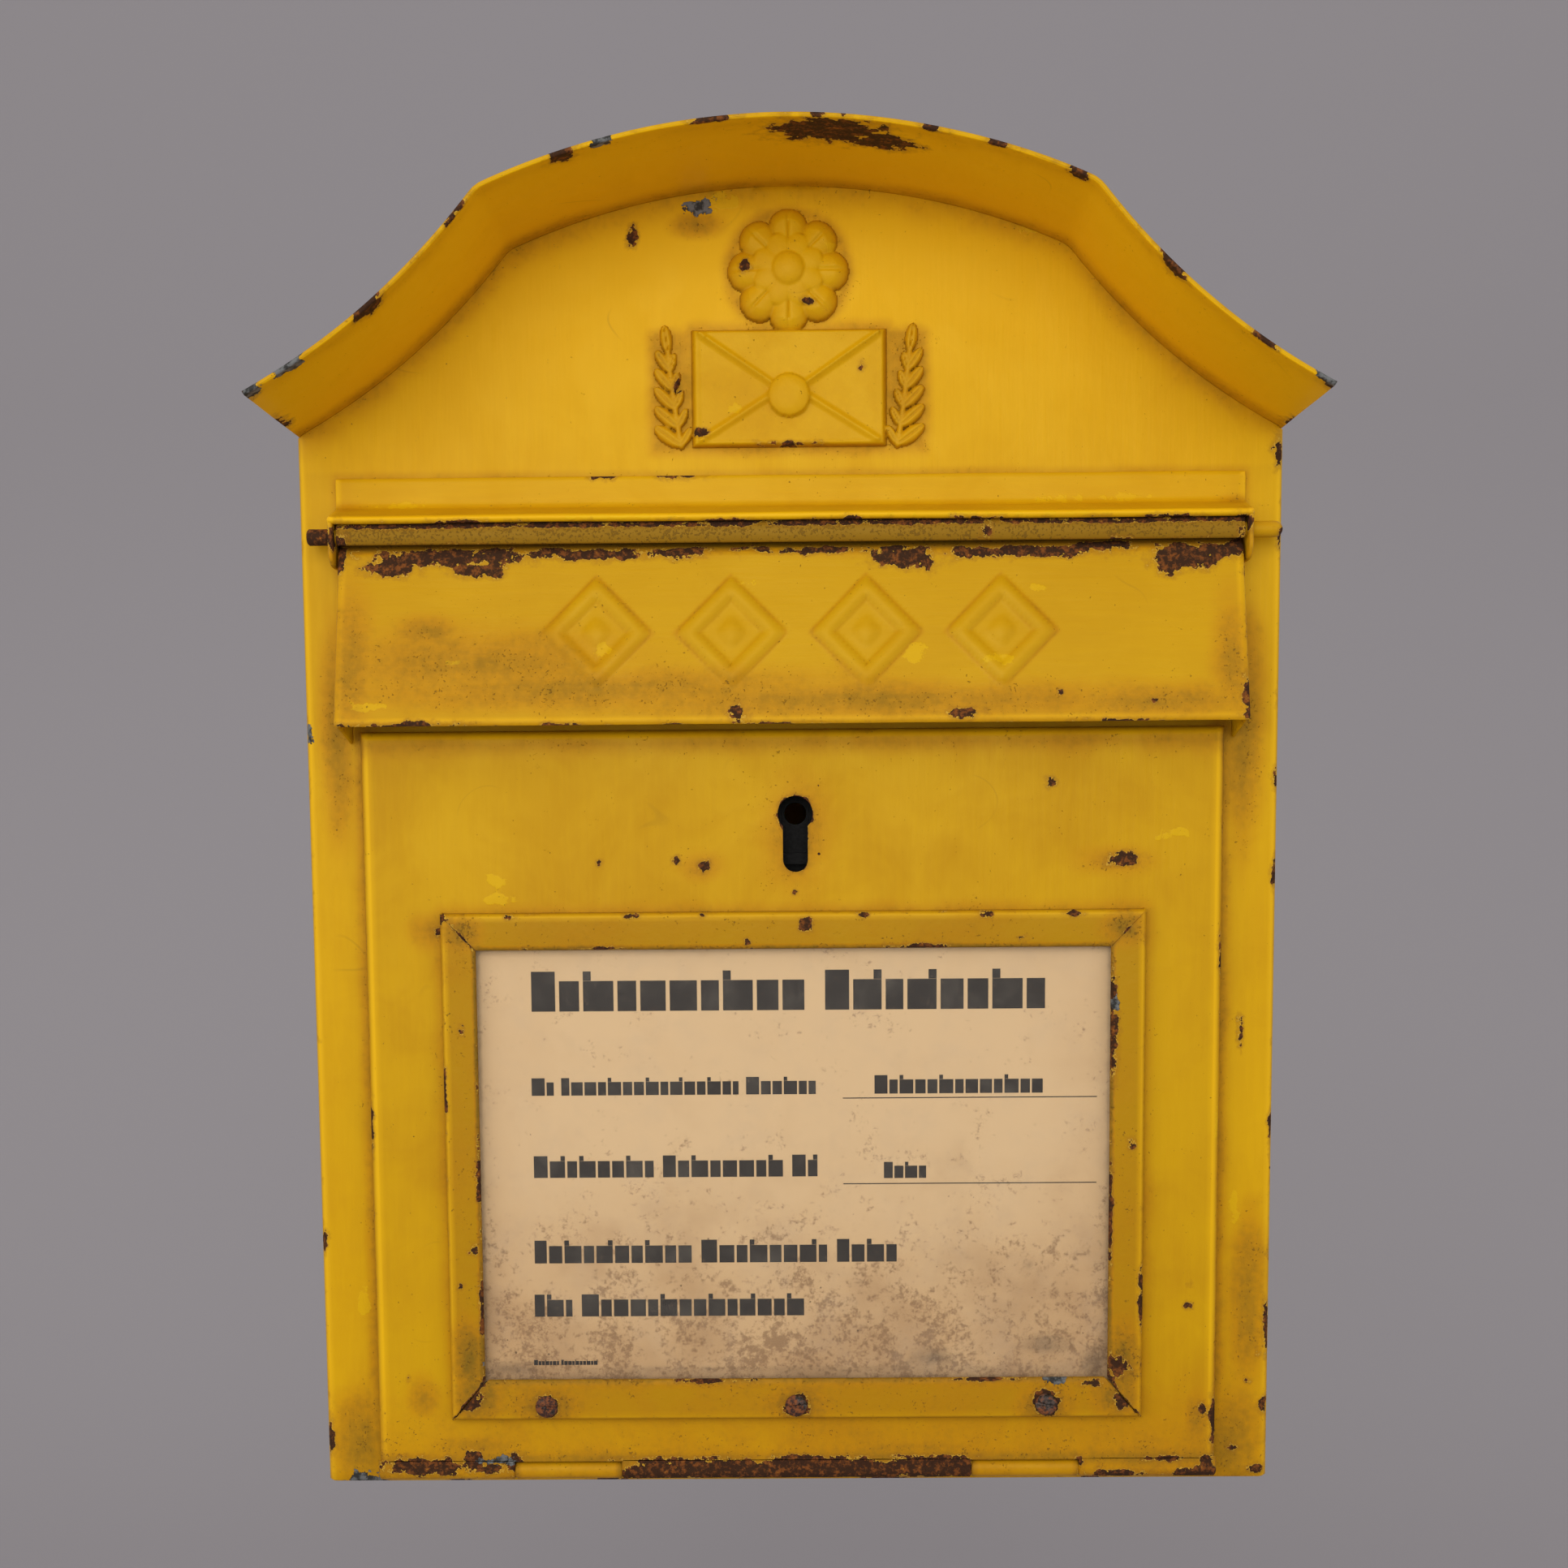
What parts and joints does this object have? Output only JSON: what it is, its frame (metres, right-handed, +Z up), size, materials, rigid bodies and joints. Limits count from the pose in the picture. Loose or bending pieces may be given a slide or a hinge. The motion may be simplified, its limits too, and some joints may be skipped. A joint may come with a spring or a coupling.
{
  "type": "wall letterbox",
  "caption": "Weathered sheet-steel wall letterbox with an arched roof, hinged letter flap, bottom-hinged locking door and framed notice card.",
  "frame": {"origin": "middle of the underside, halfway between the wall and the roof's front edge", "axes": "front faces -Y, +Y points into the wall, +Z up, X along the door hinge and the flap rod"},
  "size_m": [0.306, 0.21, 0.4086],
  "materials": {
    "enamel": "satin paint, chipped and rusty",
    "cast_enamel": "satin paint over a casting",
    "bare_steel": "dull, rust-stained",
    "card": "matt, foxed",
    "clear_sheet": "clear sheet"
  },
  "bodies": {
    "box": {"body_shell": "enamel", "back_panel": "enamel", "bottom_pan": "enamel", "roof": "enamel", "slot_hood": "enamel", "letter_guard": "enamel", "flap_rod": "bare_steel", "hinge_leaf_left": "enamel", "hinge_leaf_right": "enamel", "hinge_pin": "bare_steel", "bolt_keeper": "bare_steel", "ornament": "cast_enamel", "ornament_screws": "bare_steel"},
    "flap": {"letter_flap": "enamel"},
    "door": {"door_pan": "enamel", "card_frame": "enamel", "frame_strip": "enamel", "frame_screws": "bare_steel", "frame_nuts": "bare_steel", "notice_card": "card", "card_pane": "clear_sheet", "lock_plate": "bare_steel", "lock_case": "bare_steel", "bolt_spring": "bare_steel", "lock_studs": "bare_steel", "lock_nuts": "bare_steel"},
    "bolt": {"lock_bolt": "bare_steel"}
  },
  "joints": [
    {"name": "door_hinge", "type": "hinge", "parent": "box", "child": "door", "pos_m": [0, -0.05, 0.0055], "axis": [1, 0, 0], "range_deg": [0, 170]},
    {"name": "flap_hinge", "type": "hinge", "parent": "box", "child": "flap", "pos_m": [0, -0.053, 0.3016], "axis": [-1, 0, 0], "range_deg": [0, 80]},
    {"name": "bolt_slide", "type": "slide", "parent": "door", "child": "bolt", "axis": [0, 0, 1], "range_m": [0, 0.008]}
  ]
}
